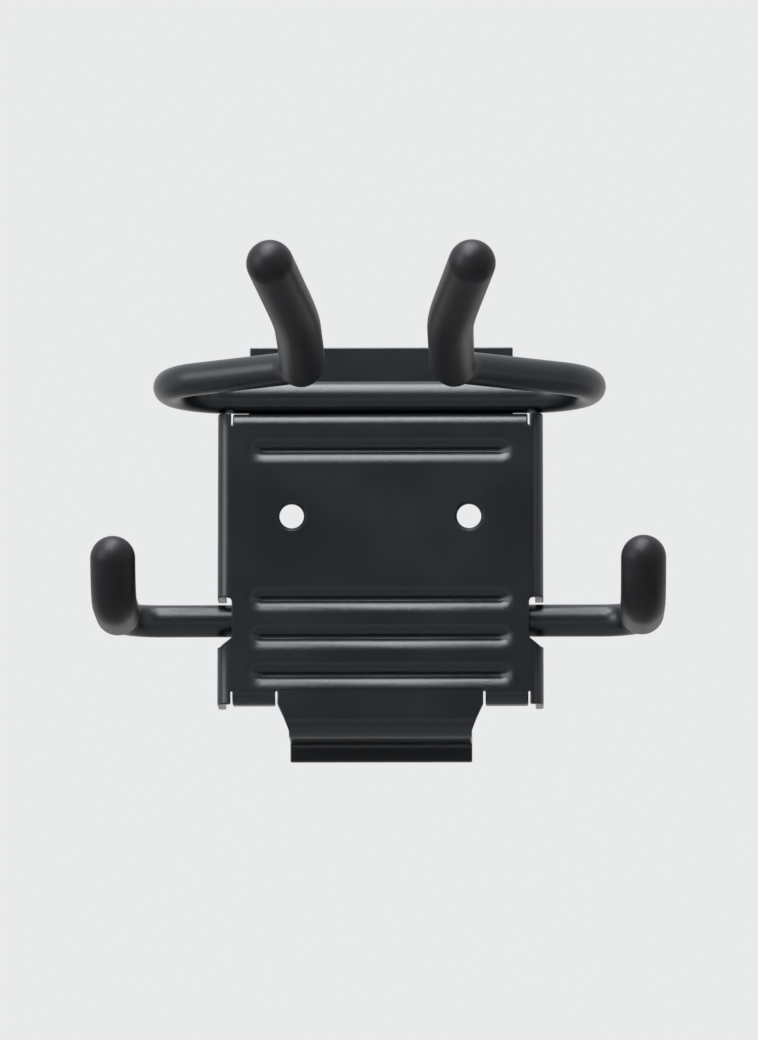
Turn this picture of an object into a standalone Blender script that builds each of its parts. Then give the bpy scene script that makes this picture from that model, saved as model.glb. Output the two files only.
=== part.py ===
"""A steel hanger for one pair of skis and one pair of poles, hooked on a slat wall.

The hanger is a folded and ribbed back plate, two bent rods welded to it, and four moulded
sleeves pushed over the ends of the rods. It has no part that moves.

Axes: X runs along the wall, Z points up, and -Y points away from the wall. The origin is the
middle of the upper seat: the underside of the hook's shelf, in the plane of the wall's face.
"""

import math

import bmesh
import bpy
from mathutils import Quaternion, Vector

MM = 0.001

# Fit of the pieces
CLEARANCE = 0.3 * MM
SLAT_PITCH = 76.2 * MM

# Steel
SHEET = 1.8 * MM
ROD_DIAMETER = 7.3 * MM
WALL_GAP = 1.6 * MM

# Back plate
PLATE_WIDTH = 73.5 * MM
PLATE_HEIGHT = 66.3 * MM
PLATE_TOP = -2.6 * MM
EDGE_RADIUS = 3.0 * MM
FOLD_INSIDE_RADIUS = 1.0 * MM
TONGUE_WIDTH = 46.3 * MM
TONGUE_TAPER = 0.89
TONGUE_RADIUS = 4.5 * MM
HOOK_WIDTH = 60.0 * MM
RETURN_WIDTH = 66.1 * MM
RELIEF = 0.8 * MM
LIP_HEIGHT = 15.0 * MM
LIP_REACH = 7.0 * MM
TONGUE_LIP_DROP = 4.0 * MM
LOWER_RETURN = 2.4 * MM

# Pressed grooves and screw holes
GROOVE_ANGLE = math.radians(50)
GROOVE_LIP_RADIUS = 3.0 * MM
GROOVE_BOWL_RADIUS = 1.4 * MM
GROOVE_LENGTH = 49.6 * MM
GROOVE_FADE = 4.0 * MM
BAND_MARGIN = 1.3 * MM
LOWEST_BAND = 6.6 * MM
SCREW_HOLE = 5.5 * MM
SCREW_CHAMFER = 0.75 * MM
SCREW_SPACING = 40.0 * MM
SCREW_DROP = 23.6 * MM

# Ski rod
LOOP_WIDTH = 94.4 * MM
LOOP_BEND = 14.4 * MM
LOOP_SLANT = math.radians(34)
PRONG_SPACING = 32.8 * MM
PRONG_BEND = 12.0 * MM
PRONG_KNEE = 111.0 * MM
TIP_RUN = 32.0 * MM
TIP_RISE = 6.5 * MM
TIP_SPREAD = 4.8 * MM
TIP_BEND = 50.0 * MM

# Pole rod
POLE_SPACING = 117.4 * MM
POLE_BEND = 9.0 * MM
POLE_REACH = 34.0 * MM
UPTURN_BEND = 10.0 * MM
UPTURN_ANGLE = math.radians(65)
UPTURN_STRAIGHT = 3.35 * MM

# Sleeves
SLEEVE_WALL = 1.05 * MM
SKI_SLEEVE_LEAD = math.radians(22)
POLE_SLEEVE_START = 18.5 * MM
ROD_PAST_DOME = 1.0 * MM
MOUTH_ROUNDING = 0.3 * MM

# Weld beads
BEAD_RADIUS = 1.2 * MM
BEAD_LENGTH = 14.0 * MM
BEAD_RIPPLES = 9
BEAD_RIPPLE_DEPTH = 0.16 * MM
SKI_BEAD_PLACE = 21.0 * MM
POLE_BEAD_PLACE = 16.0 * MM

# Fineness of round shapes
ROD_SIDES = 20
TURN_STEP = math.radians(12)
DOME_RINGS = 5
BEAD_SIDES = 10
GROOVE_STEPS = 4

# Worked out from the sizes above
HALF_SHEET = SHEET / 2
ROD_RADIUS = ROD_DIAMETER / 2
PLATE_DEPTH = SHEET + CLEARANCE + ROD_DIAMETER + WALL_GAP
FACE_Y = -PLATE_DEPTH
FACE_MIDDLE_Y = FACE_Y + HALF_SHEET
PLATE_BOTTOM = PLATE_TOP - PLATE_HEIGHT
FOLD_RADIUS = FOLD_INSIDE_RADIUS + HALF_SHEET
EDGE_MIDDLE_RADIUS = EDGE_RADIUS - HALF_SHEET
FLAT_HALF_WIDTH = PLATE_WIDTH / 2 - EDGE_RADIUS
BAND_PITCH = ROD_DIAMETER + BAND_MARGIN
GROOVE_BOWL_HALF = GROOVE_BOWL_RADIUS * math.sin(GROOVE_ANGLE)
GROOVE_HALF_WIDTH = GROOVE_BOWL_HALF + GROOVE_LIP_RADIUS * math.sin(GROOVE_ANGLE)
GROOVE_DEPTH = (GROOVE_LIP_RADIUS + GROOVE_BOWL_RADIUS) * (1 - math.cos(GROOVE_ANGLE))
LOW_GROOVE_Z = PLATE_BOTTOM + LOWEST_BAND
GROOVES = (
    PLATE_TOP - BAND_PITCH,
    LOW_GROOVE_Z + 2 * BAND_PITCH,
    LOW_GROOVE_Z + BAND_PITCH,
    LOW_GROOVE_Z,
)
SCREW_Z = PLATE_TOP - SCREW_DROP

SKI_ROD_Y = FACE_Y + ROD_RADIUS
SKI_ROD_Z = PLATE_TOP + CLEARANCE + ROD_RADIUS
RISER_MIDDLE_Y = FACE_Y + ROD_DIAMETER + CLEARANCE + HALF_SHEET
RETURN_MIDDLE_Z = PLATE_TOP - HALF_SHEET
LIP_MIDDLE_Y = LIP_REACH - HALF_SHEET

POLE_ROD_Z = LOW_GROOVE_Z + 1.5 * BAND_PITCH
RIDGE_CENTRE_Y = FACE_MIDDLE_Y + GROOVE_DEPTH - GROOVE_BOWL_RADIUS
RIDGE_RADIUS = GROOVE_BOWL_RADIUS + HALF_SHEET
RIDGE_REACH = RIDGE_RADIUS + CLEARANCE + ROD_RADIUS
POLE_ROD_Y = max(
    FACE_Y + SHEET + CLEARANCE + ROD_RADIUS,
    RIDGE_CENTRE_Y + math.sqrt(max(0, RIDGE_REACH**2 - (BAND_PITCH / 2) ** 2)),
)

SLEEVE_BORE = (ROD_RADIUS + CLEARANCE) / math.cos(math.pi / ROD_SIDES)
SLEEVE_RADIUS = ROD_RADIUS + CLEARANCE + SLEEVE_WALL


# Finishes


def linear(channel):
    """The linear light of one sRGB channel between 0 and 1."""
    if channel <= 0.04045:
        return channel / 12.92
    return ((channel + 0.055) / 1.055) ** 2.4


def finish(name, colour, roughness, metallic):
    """A Principled material, with its colour given as an sRGB hex string."""
    material = bpy.data.materials.new(name)
    material.use_nodes = True
    shader = material.node_tree.nodes["Principled BSDF"]
    channels = [linear(int(colour[i : i + 2], 16) / 255) for i in (1, 3, 5)]
    shader.inputs["Base Color"].default_value = (*channels, 1)
    shader.inputs["Roughness"].default_value = roughness
    shader.inputs["Metallic"].default_value = metallic
    return material


def black_coat(name):
    """Satin black powder coat with a blue cast."""
    return finish(name + "_coat", "#2A2D31", 0.38, 0.0)


def black_rubber(name):
    """Matt black moulded rubber, a little warmer than the coat."""
    return finish(name + "_rubber", "#28272A", 0.72, 0.0)


# Paths and tubes


def rounded_path(corners, radii):
    """Points along a line that is bent to a radius at each of its inner corners."""
    points = [corners[0]]
    for index, radius in enumerate(radii):
        before, corner, after = corners[index : index + 3]
        coming = (corner - before).normalized()
        going = (after - corner).normalized()
        turn = coming.angle(going)
        axis = coming.cross(going).normalized()
        start = corner - coming * radius * math.tan(turn / 2)
        centre = start + axis.cross(coming) * radius
        count = max(2, math.ceil(turn / TURN_STEP))
        for step in range(count + 1):
            arm = Quaternion(axis, turn * step / count) @ (start - centre)
            points.append(centre + arm)
    points.append(corners[-1])
    kept = points[:1]
    for point in points[1:]:
        if (point - kept[-1]).length > 0.01 * MM:
            kept.append(point)
    return kept


def frames_along(points):
    """For each point, the point itself, the direction of travel and two directions across it."""
    steps = [(b - a).normalized() for a, b in zip(points, points[1:])]
    travel = [steps[0]]
    for before, after in zip(steps, steps[1:]):
        travel.append((before + after).normalized())
    travel.append(steps[-1])
    across = travel[0].orthogonal().normalized()
    frames = []
    for point, along in zip(points, travel):
        across = (across - along * across.dot(along)).normalized()
        frames.append((point, along, across, along.cross(across)))
    return frames


def add_ring(mesh, frame, radius, sides, shift=0.0):
    """A ring of vertices round a frame, moved along the direction of travel by the shift."""
    point, along, across, up = frame
    ring = []
    for index in range(sides):
        angle = 2 * math.pi * index / sides
        arm = across * math.cos(angle) + up * math.sin(angle)
        ring.append(mesh.verts.new(point + along * shift + arm * radius))
    return ring


def join_rings(mesh, first, second):
    """A band of quads between two rings of one size."""
    for index in range(len(first)):
        after = (index + 1) % len(first)
        mesh.faces.new((first[index], first[after], second[after], second[index]))


def close_ring(mesh, ring, pole):
    """A fan of triangles from a ring to a pole."""
    tip = mesh.verts.new(pole)
    for index, vertex in enumerate(ring):
        mesh.faces.new((vertex, ring[(index + 1) % len(ring)], tip))


def object_from(mesh, name, material, sharp_angle=math.radians(35)):
    """A named object from a bmesh, facing out and shaded smooth except at sharp edges."""
    bmesh.ops.recalc_face_normals(mesh, faces=mesh.faces)
    data = bpy.data.meshes.new(name)
    mesh.to_mesh(data)
    mesh.free()
    data.shade_smooth()
    data.set_sharp_from_angle(angle=sharp_angle)
    made = bpy.data.objects.new(name, data)
    bpy.context.scene.collection.objects.link(made)
    if material:
        data.materials.append(material)
    return made


def mirrored(points):
    """The same points on the other side of the hanger, in the opposite order."""
    return [Vector((-point.x, point.y, point.z)) for point in reversed(points)]


# Back plate


def press_depth(x, z):
    """How far the sheet is pressed towards the wall at a place on the plate's face."""
    fade = (abs(x) - GROOVE_LENGTH / 2) / GROOVE_FADE
    fade = min(1.0, max(0.0, fade))
    share = 1 - fade * fade * (3 - 2 * fade)
    nearest = min(abs(z - groove) for groove in GROOVES)
    if nearest >= GROOVE_HALF_WIDTH:
        return 0.0
    if nearest > GROOVE_BOWL_HALF:
        rest = GROOVE_HALF_WIDTH - nearest
        depth = GROOVE_LIP_RADIUS - math.sqrt(GROOVE_LIP_RADIUS**2 - rest**2)
    else:
        rest = math.sqrt(GROOVE_BOWL_RADIUS**2 - nearest**2)
        depth = GROOVE_DEPTH - GROOVE_BOWL_RADIUS + rest
    return depth * share


def face_columns():
    """(x, distance behind the face) across one half of the plate, from the middle outwards."""
    columns = [
        (TONGUE_WIDTH / 2, 0.0),
        (TONGUE_WIDTH / 2 + RELIEF, 0.0),
    ]
    for step in range(5):
        columns.append((GROOVE_LENGTH / 2 + GROOVE_FADE * step / 4, 0.0))
    columns.append((HOOK_WIDTH / 2, 0.0))
    columns.append((RETURN_WIDTH / 2, 0.0))
    for step in range(6):
        angle = math.radians(90) * step / 5
        x = FLAT_HALF_WIDTH + EDGE_MIDDLE_RADIUS * math.sin(angle)
        columns.append((x, EDGE_MIDDLE_RADIUS * (1 - math.cos(angle))))
    columns.append((PLATE_WIDTH / 2 - HALF_SHEET, PLATE_DEPTH - HALF_SHEET))
    return columns


def face_rows(lowest, highest):
    """Heights up the plate's face, close together where a groove is pressed."""
    rows = [lowest, highest]
    reaches = []
    for step in range(GROOVE_STEPS + 1):
        turned = math.sin(GROOVE_ANGLE * step / GROOVE_STEPS)
        reaches.append(GROOVE_BOWL_RADIUS * turned)
        reaches.append(GROOVE_HALF_WIDTH - GROOVE_LIP_RADIUS * turned)
    for groove in GROOVES:
        for side in (-1, 1):
            rows += [groove + side * reach for reach in reaches]
    kept = []
    for row in sorted(rows):
        if not kept or row - kept[-1] > 0.01 * MM:
            kept.append(row)
    return kept


def add_flap(mesh, border, points, narrowing=None):
    """A strip of sheet that goes on from a border of vertices along points in the YZ plane.

    The narrowing, where there is one, gives the share of the border's width at a height.
    """
    places = [vertex.co.x for vertex in border]
    for point in points:
        share = narrowing(point.z) if narrowing else 1.0
        following = []
        for x in places:
            following.append(mesh.verts.new((x * share, point.y, point.z)))
        for index in range(len(border) - 1):
            corners = (border[index], border[index + 1])
            mesh.faces.new((*corners, following[index + 1], following[index]))
        border = following
    return border


def between(border, low, high):
    """The vertices of a border whose x lies between two values, in order."""
    spare = 0.01 * MM
    return [v for v in border if low - spare <= v.co.x <= high + spare]


def hook_path():
    """The fold from the top of the face over the ski rod's seat to the lip behind the slat."""
    middle = HALF_SHEET
    corners = [
        Vector((0, FACE_MIDDLE_Y, RETURN_MIDDLE_Z - FOLD_RADIUS)),
        Vector((0, FACE_MIDDLE_Y, RETURN_MIDDLE_Z)),
        Vector((0, RISER_MIDDLE_Y, RETURN_MIDDLE_Z)),
        Vector((0, RISER_MIDDLE_Y, middle)),
        Vector((0, LIP_MIDDLE_Y, middle)),
        Vector((0, LIP_MIDDLE_Y, LIP_HEIGHT)),
    ]
    return rounded_path(corners, [FOLD_RADIUS] * 4)[1:]


def tongue_path(start):
    """The fold from the bottom of the face down to the lower slat and over its edge."""
    level = HALF_SHEET - SLAT_PITCH
    corners = [
        Vector((0, FACE_MIDDLE_Y, start)),
        Vector((0, FACE_MIDDLE_Y, level)),
        Vector((0, LIP_MIDDLE_Y, level)),
        Vector((0, LIP_MIDDLE_Y, -SLAT_PITCH - TONGUE_LIP_DROP)),
    ]
    folds = rounded_path(corners, [TONGUE_RADIUS - HALF_SHEET, FOLD_RADIUS])[1:]
    return [Vector((0, FACE_MIDDLE_Y, PLATE_BOTTOM)), *folds]


def tongue_share(z):
    """The share of its full width that the tongue has at a height: it narrows to its bend."""
    top = PLATE_BOTTOM
    bend = SHEET - SLAT_PITCH
    down = min(1.0, max(0.0, (top - z) / (top - bend)))
    return 1.0 - (1.0 - TONGUE_TAPER) * down


def lower_return_path(start):
    """The short stiffening fold on either side of the tongue."""
    corners = [
        Vector((0, FACE_MIDDLE_Y, start)),
        Vector((0, FACE_MIDDLE_Y, PLATE_BOTTOM + HALF_SHEET)),
        Vector((0, FACE_MIDDLE_Y + EDGE_MIDDLE_RADIUS + LOWER_RETURN, PLATE_BOTTOM + HALF_SHEET)),
    ]
    return rounded_path(corners, [EDGE_MIDDLE_RADIUS])[1:]


def plate_sheet():
    """The middle surface of the folded sheet, as one bmesh of quads."""
    mesh = bmesh.new()
    half = face_columns()
    columns = [(-x, back) for x, back in reversed(half)] + half
    lowest = PLATE_BOTTOM + EDGE_RADIUS
    highest = RETURN_MIDDLE_Z - FOLD_RADIUS
    rows = []
    for z in face_rows(lowest, highest):
        row = []
        for x, back in columns:
            y = FACE_MIDDLE_Y + back + press_depth(x, z)
            row.append(mesh.verts.new((x, y, z)))
        rows.append(row)
    for lower, upper in zip(rows, rows[1:]):
        for index in range(len(columns) - 1):
            mesh.faces.new((lower[index], lower[index + 1], upper[index + 1], upper[index]))

    folds = hook_path()
    seat_end = RISER_MIDDLE_Y - FOLD_RADIUS + 0.01 * MM
    seat = [p for p in folds if p.z < PLATE_TOP and p.y <= seat_end]
    top_border = between(rows[-1], -RETURN_WIDTH / 2, RETURN_WIDTH / 2)
    seat_border = add_flap(mesh, top_border, seat)
    hook_border = between(seat_border, -HOOK_WIDTH / 2, HOOK_WIDTH / 2)
    add_flap(mesh, hook_border, folds[len(seat) :])

    tongue = between(rows[0], -TONGUE_WIDTH / 2, TONGUE_WIDTH / 2)
    add_flap(mesh, tongue, tongue_path(lowest), tongue_share)
    for side in (-1, 1):
        ends = sorted((side * (TONGUE_WIDTH / 2 + RELIEF), side * RETURN_WIDTH / 2))
        add_flap(mesh, between(rows[0], *ends), lower_return_path(lowest))
        ends = sorted((side * FLAT_HALF_WIDTH, side * PLATE_WIDTH / 2))
        extend_edge(mesh, between(rows[-1], *ends), PLATE_TOP)
        extend_edge(mesh, between(rows[0], *ends), PLATE_BOTTOM)
    return mesh


def extend_edge(mesh, border, z):
    """The side flange and its rounded edge, carried straight on to a height."""
    following = [mesh.verts.new((v.co.x, v.co.y, z)) for v in border]
    for index in range(len(border) - 1):
        corners = (border[index], border[index + 1])
        mesh.faces.new((*corners, following[index + 1], following[index]))


def cutter_object(mesh, name):
    """A helper solid that a Boolean takes away, left out of the part itself."""
    cutter = object_from(mesh, name, None)
    cutter.hide_render = True
    cutter.display_type = "WIRE"
    return cutter


def screw_cutter(name, x):
    """A countersunk hole through the face of the plate."""
    mesh = bmesh.new()
    radius = SCREW_HOLE / 2
    spare = 1.5 * MM
    stations = (
        (FACE_Y - spare, radius + SCREW_CHAMFER + spare),
        (FACE_Y + SCREW_CHAMFER, radius),
        (FACE_Y + SHEET + spare, radius),
    )
    rings = []
    for y, size in stations:
        frame = (Vector((x, y, SCREW_Z)), Vector((0, 1, 0)), Vector((1, 0, 0)), Vector((0, 0, 1)))
        rings.append(add_ring(mesh, frame, size, 28))
    for first, second in zip(rings, rings[1:]):
        join_rings(mesh, first, second)
    mesh.faces.new(rings[0])
    mesh.faces.new(rings[-1])
    return cutter_object(mesh, name)


def notch_cutter(name, side):
    """The opening in a side flange that the pole rod leaves through."""
    above = POLE_ROD_Z + ROD_RADIUS + 1.15 * MM
    below = POLE_ROD_Z - ROD_RADIUS - 2.75 * MM
    neck = FLAT_HALF_WIDTH - 0.25 * MM
    outside = PLATE_WIDTH / 2 + 4 * MM
    outline = (
        (neck, above - 0.9 * MM),
        (neck + 0.9 * MM, above),
        (outside, above),
        (outside, below),
        (neck + 2.6 * MM, below),
        (neck, below + 2.0 * MM),
    )
    mesh = bmesh.new()
    front = [mesh.verts.new((side * x, FACE_Y - 1.5 * MM, z)) for x, z in outline]
    back = [mesh.verts.new((side * x, 1.5 * MM, z)) for x, z in outline]
    join_rings(mesh, front, back)
    mesh.faces.new(front)
    mesh.faces.new(back)
    return cutter_object(mesh, name)


def build_back_plate():
    """The back plate: one folded sheet with pressed grooves, notches and screw holes."""
    plate = object_from(plate_sheet(), "back_plate", black_coat("back_plate"))
    solid = plate.modifiers.new("Sheet thickness", "SOLIDIFY")
    solid.thickness = SHEET
    solid.offset = 0.0
    solid.use_even_offset = True
    solid.use_quality_normals = True
    cutters = [
        screw_cutter("screw_hole_left", -SCREW_SPACING / 2),
        screw_cutter("screw_hole_right", SCREW_SPACING / 2),
        notch_cutter("rod_notch_left", -1),
        notch_cutter("rod_notch_right", 1),
    ]
    for cutter in cutters:
        cut = plate.modifiers.new("Cut " + cutter.name, "BOOLEAN")
        cut.operation = "DIFFERENCE"
        cut.solver = "EXACT"
        cut.object = cutter
    return plate


# Rods


def loop_corner():
    """How far out the rear run and the loop's slanted front would meet, if they weren't bent."""
    turn = math.pi - LOOP_SLANT
    return LOOP_WIDTH / 2 - LOOP_BEND + LOOP_BEND * math.tan(turn / 2)


def prong_root():
    """The distance from the wall at which the loop's slanted front would meet the prong."""
    return SKI_ROD_Y - (loop_corner() - PRONG_SPACING / 2) * math.tan(LOOP_SLANT)


def ski_prong(side):
    """The corners of one prong, from the loop to the middle of the tip's dome."""
    x = side * PRONG_SPACING / 2
    tip = Vector((x + side * TIP_SPREAD, -PRONG_KNEE - TIP_RUN, SKI_ROD_Z + TIP_RISE))
    return [Vector((x, prong_root(), SKI_ROD_Z)), Vector((x, -PRONG_KNEE, SKI_ROD_Z)), tip]


def ski_sleeve_corners(side):
    """The corners of a ski sleeve, which begins part of the way round the prong's first bend."""
    root, knee, tip = ski_prong(side)
    straight = root.y - PRONG_BEND * math.tan((math.pi / 2 - LOOP_SLANT) / 2)
    out = root.x + side * PRONG_BEND * (1 - math.cos(SKI_SLEEVE_LEAD))
    start = Vector((out, straight + PRONG_BEND * math.sin(SKI_SLEEVE_LEAD), root.z))
    turn = Vector((root.x, straight + PRONG_BEND * math.tan(SKI_SLEEVE_LEAD / 2), root.z))
    return [start, turn, knee, tip]


def pole_arm(side):
    """The corners of one pole arm, from the plate to the middle of the tip's dome."""
    x = side * POLE_SPACING / 2
    reach = UPTURN_BEND * math.tan(UPTURN_ANGLE / 2)
    corner = Vector((x, -POLE_REACH - reach, POLE_ROD_Z))
    rise = Vector((0, -math.cos(UPTURN_ANGLE), math.sin(UPTURN_ANGLE)))
    return [Vector((x, POLE_ROD_Y, POLE_ROD_Z)), corner, corner + rise * (reach + UPTURN_STRAIGHT)]


def past_end(corners, distance):
    """The same corners with the last one moved on along its own run."""
    last = corners[-1] + (corners[-1] - corners[-2]).normalized() * distance
    return [*corners[:-1], last]


def build_rod(name, points):
    """A round steel rod along a path, with flat ends."""
    curve = bpy.data.curves.new(name, "CURVE")
    curve.dimensions = "3D"
    curve.bevel_depth = ROD_RADIUS
    curve.bevel_resolution = (ROD_SIDES - 4) // 2
    curve.use_fill_caps = True
    spline = curve.splines.new("POLY")
    spline.points.add(len(points) - 1)
    for target, point in zip(spline.points, points):
        target.co = (*point, 1)
    spline.use_smooth = True
    curve.materials.append(black_coat(name))
    rod = bpy.data.objects.new(name, curve)
    bpy.context.scene.collection.objects.link(rod)
    return rod


def build_ski_rod():
    """The rod that carries the skis: two prongs joined by a loop at each side and a rear run."""
    outer = Vector((loop_corner(), SKI_ROD_Y, SKI_ROD_Z))
    half = [outer, *past_end(ski_prong(1), ROD_PAST_DOME)]
    radii = [TIP_BEND, PRONG_BEND, LOOP_BEND]
    path = rounded_path([*mirrored(half), *half], [*radii, *reversed(radii)])
    return build_rod("ski_rod", path)


def build_pole_rod():
    """The rod that carries the poles: a rear run behind the plate and an arm at each side."""
    half = past_end(pole_arm(1), ROD_PAST_DOME)
    radii = [UPTURN_BEND, POLE_BEND, POLE_BEND, UPTURN_BEND]
    return build_rod("pole_rod", rounded_path([*mirrored(half), *half], radii))


# Sleeves


def build_sleeve(name, corners, radii):
    """A moulded sleeve along a path: open at its start, with a round dome past its end."""
    mesh = bmesh.new()
    outside = frames_along(rounded_path(corners, radii))
    bore_end = past_end(corners, ROD_PAST_DOME + CLEARANCE)
    inside = frames_along(rounded_path(bore_end, radii))
    rings = [add_ring(mesh, frame, SLEEVE_BORE, ROD_SIDES) for frame in reversed(inside)]
    close_ring(mesh, rings[0], bore_end[-1])
    rings.append(add_ring(mesh, outside[0], SLEEVE_RADIUS - MOUTH_ROUNDING, ROD_SIDES))
    rings.append(add_ring(mesh, outside[0], SLEEVE_RADIUS, ROD_SIDES, MOUTH_ROUNDING))
    for frame in outside[1:]:
        rings.append(add_ring(mesh, frame, SLEEVE_RADIUS, ROD_SIDES))
    for step in range(1, DOME_RINGS):
        angle = math.radians(90) * step / DOME_RINGS
        radius = SLEEVE_RADIUS * math.cos(angle)
        shift = SLEEVE_RADIUS * math.sin(angle)
        rings.append(add_ring(mesh, outside[-1], radius, ROD_SIDES, shift))
    for first, second in zip(rings, rings[1:]):
        join_rings(mesh, first, second)
    point, along = outside[-1][:2]
    close_ring(mesh, rings[-1], point + along * SLEEVE_RADIUS)
    return object_from(mesh, name, black_rubber(name))


def build_sleeves():
    """The four sleeves: one on each ski prong and one on each pole arm."""
    for side, word in ((-1, "left"), (1, "right")):
        corners = ski_sleeve_corners(side)
        build_sleeve("ski_sleeve_" + word, corners, [PRONG_BEND, TIP_BEND])
        root, corner, tip = pole_arm(side)
        start = Vector((root.x, -POLE_SLEEVE_START, root.z))
        build_sleeve("pole_sleeve_" + word, [start, corner, tip], [UPTURN_BEND])


# Weld beads


def bead_seat(first, first_radius, second, second_radius):
    """The (y, z) of a bead that lies in the valley between two round surfaces."""
    reach = first_radius + CLEARANCE + BEAD_RADIUS
    other = second_radius + CLEARANCE + BEAD_RADIUS
    gap = second - first
    apart = gap.length
    along = (apart**2 + reach**2 - other**2) / (2 * apart)
    rise = math.sqrt(reach**2 - along**2)
    direction = gap / apart
    return first + direction * along + Vector((0, -direction.z, direction.y)) * rise


def build_bead(name, seat, place):
    """A short weld bead along X, with one ripple for each step of the torch."""
    mesh = bmesh.new()
    start = Vector((place - BEAD_LENGTH / 2, seat.y, seat.z))
    frame = (start, Vector((1, 0, 0)), Vector((0, 1, 0)), Vector((0, 0, 1)))
    inset = BEAD_RADIUS * 0.6
    ripple = (BEAD_LENGTH - 2 * inset) / BEAD_RIPPLES
    stations = [(0.35 * inset, 0.62 * BEAD_RADIUS)]
    for step in range(BEAD_RIPPLES):
        stations.append((inset + ripple * step, BEAD_RADIUS - BEAD_RIPPLE_DEPTH))
        stations.append((inset + ripple * (step + 0.6), BEAD_RADIUS))
    stations.append((BEAD_LENGTH - 0.35 * inset, 0.62 * BEAD_RADIUS))
    rings = [add_ring(mesh, frame, radius, BEAD_SIDES, shift) for shift, radius in stations]
    for first, second in zip(rings, rings[1:]):
        join_rings(mesh, first, second)
    close_ring(mesh, rings[0], start)
    close_ring(mesh, rings[-1], start + Vector((BEAD_LENGTH, 0, 0)))
    return object_from(mesh, name, black_coat(name), math.radians(60))


def build_beads():
    """Four beads: two hold the ski rod to the hook's riser, two hold the pole rod to the plate."""
    ski_rod = Vector((0, SKI_ROD_Y, SKI_ROD_Z))
    hook_fold = Vector((0, RISER_MIDDLE_Y + FOLD_RADIUS, HALF_SHEET - FOLD_RADIUS))
    ski_seat = bead_seat(ski_rod, ROD_RADIUS, hook_fold, FOLD_RADIUS + HALF_SHEET)
    ridge = Vector((0, RIDGE_CENTRE_Y, LOW_GROOVE_Z + 2 * BAND_PITCH))
    pole_rod = Vector((0, POLE_ROD_Y, POLE_ROD_Z))
    pole_seat = bead_seat(ridge, RIDGE_RADIUS, pole_rod, ROD_RADIUS)
    for side, word in ((-1, "left"), (1, "right")):
        build_bead("ski_rod_weld_" + word, ski_seat, side * SKI_BEAD_PLACE)
        build_bead("pole_rod_weld_" + word, pole_seat, side * POLE_BEAD_PLACE)


def main():
    """Clears the scene and builds the hanger."""
    for old in list(bpy.data.objects):
        bpy.data.objects.remove(old)
    build_back_plate()
    build_ski_rod()
    build_pole_rod()
    build_sleeves()
    build_beads()


main()
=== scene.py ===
"""The look of a steel ski hanger: a folded plate, two bent rods, their sleeves and their welds."""

import logging
import math
from collections.abc import Callable
from dataclasses import dataclass, field
from enum import Enum
from typing import Any

import bmesh
import bpy
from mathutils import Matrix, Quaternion, Vector


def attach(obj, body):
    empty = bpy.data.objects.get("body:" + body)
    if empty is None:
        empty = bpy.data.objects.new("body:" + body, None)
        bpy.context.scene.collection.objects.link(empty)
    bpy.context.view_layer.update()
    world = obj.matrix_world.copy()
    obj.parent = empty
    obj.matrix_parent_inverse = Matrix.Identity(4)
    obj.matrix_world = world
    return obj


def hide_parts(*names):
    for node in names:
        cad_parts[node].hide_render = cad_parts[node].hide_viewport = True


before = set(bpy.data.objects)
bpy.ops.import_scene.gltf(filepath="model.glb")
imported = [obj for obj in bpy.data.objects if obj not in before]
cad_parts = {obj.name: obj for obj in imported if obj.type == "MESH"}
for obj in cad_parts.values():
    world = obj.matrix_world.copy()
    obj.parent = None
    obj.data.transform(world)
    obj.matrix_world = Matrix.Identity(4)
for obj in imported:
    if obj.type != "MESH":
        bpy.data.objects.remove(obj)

MM = 0.001
# Two points nearer than this count as one.
CLOSE = 0.01 * MM
BODY = "root"
log = logging.getLogger("ski_hanger")

Vertices = list[bmesh.types.BMVert]
Triple = tuple[float, float, float]


class Side(Enum):
    """The two halves of the hanger, seen from the front."""

    LEFT = -1
    RIGHT = 1

    @property
    def word(self) -> str:
        """The side as the last word of a piece's name."""
        return self.name.lower()


class Slot(Enum):
    """The record's material slots."""

    STEEL = "coated_steel"
    RUBBER = "sleeve_rubber"


# Colour and node helpers


def linear(hex_colour: str) -> tuple[float, float, float, float]:
    """Turns an sRGB hex colour into linear light.

    Args:
        hex_colour: The colour as "#RRGGBB".

    Returns:
        Red, green, blue and an alpha of 1.
    """
    levels = [int(hex_colour[i : i + 2], 16) / 255 for i in (1, 3, 5)]
    red, green, blue = (v / 12.92 if v <= 0.04045 else ((v + 0.055) / 1.055) ** 2.4 for v in levels)
    return red, green, blue, 1.0


def cycles_for(size_mm: float) -> float:
    """The scale of a pattern, in cycles a metre, whose marks are size_mm across."""
    return 1 / (size_mm * MM)


def add_node(tree: bpy.types.NodeTree, kind: str, settings: dict[str, Any], **sockets: Any) -> bpy.types.Node:
    """Adds one shader node with its settings and its links.

    Args:
        tree: The node tree to add to.
        kind: The node's type name, without its "ShaderNode" start.
        settings: Attributes of the node.
        **sockets: For each input, a value or another node's output. An underscore in the name
            stands for a space, and a name such as i0 is the input's number.

    Returns:
        The new node.
    """
    node = tree.nodes.new("ShaderNode" + kind)
    for name, value in settings.items():
        setattr(node, name, value)
    for name, value in sockets.items():
        socket = node.inputs[int(name[1:])] if name[1:].isdigit() else node.inputs[name.replace("_", " ")]
        if isinstance(value, bpy.types.NodeSocket):
            tree.links.new(value, socket)
        else:
            socket.default_value = value
    return node


def set_stops(ramp_node: bpy.types.Node, stops: list[tuple[float, Any]]) -> None:
    """Sets the stops of a colour ramp.

    Args:
        ramp_node: The ramp.
        stops: Pairs of position and linear colour, in rising order.
    """
    ramp = ramp_node.color_ramp
    while len(ramp.elements) < len(stops):
        ramp.elements.new(0.5)
    for element, (place, colour) in zip(ramp.elements, stops):
        element.position = place
        element.color = colour


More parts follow.
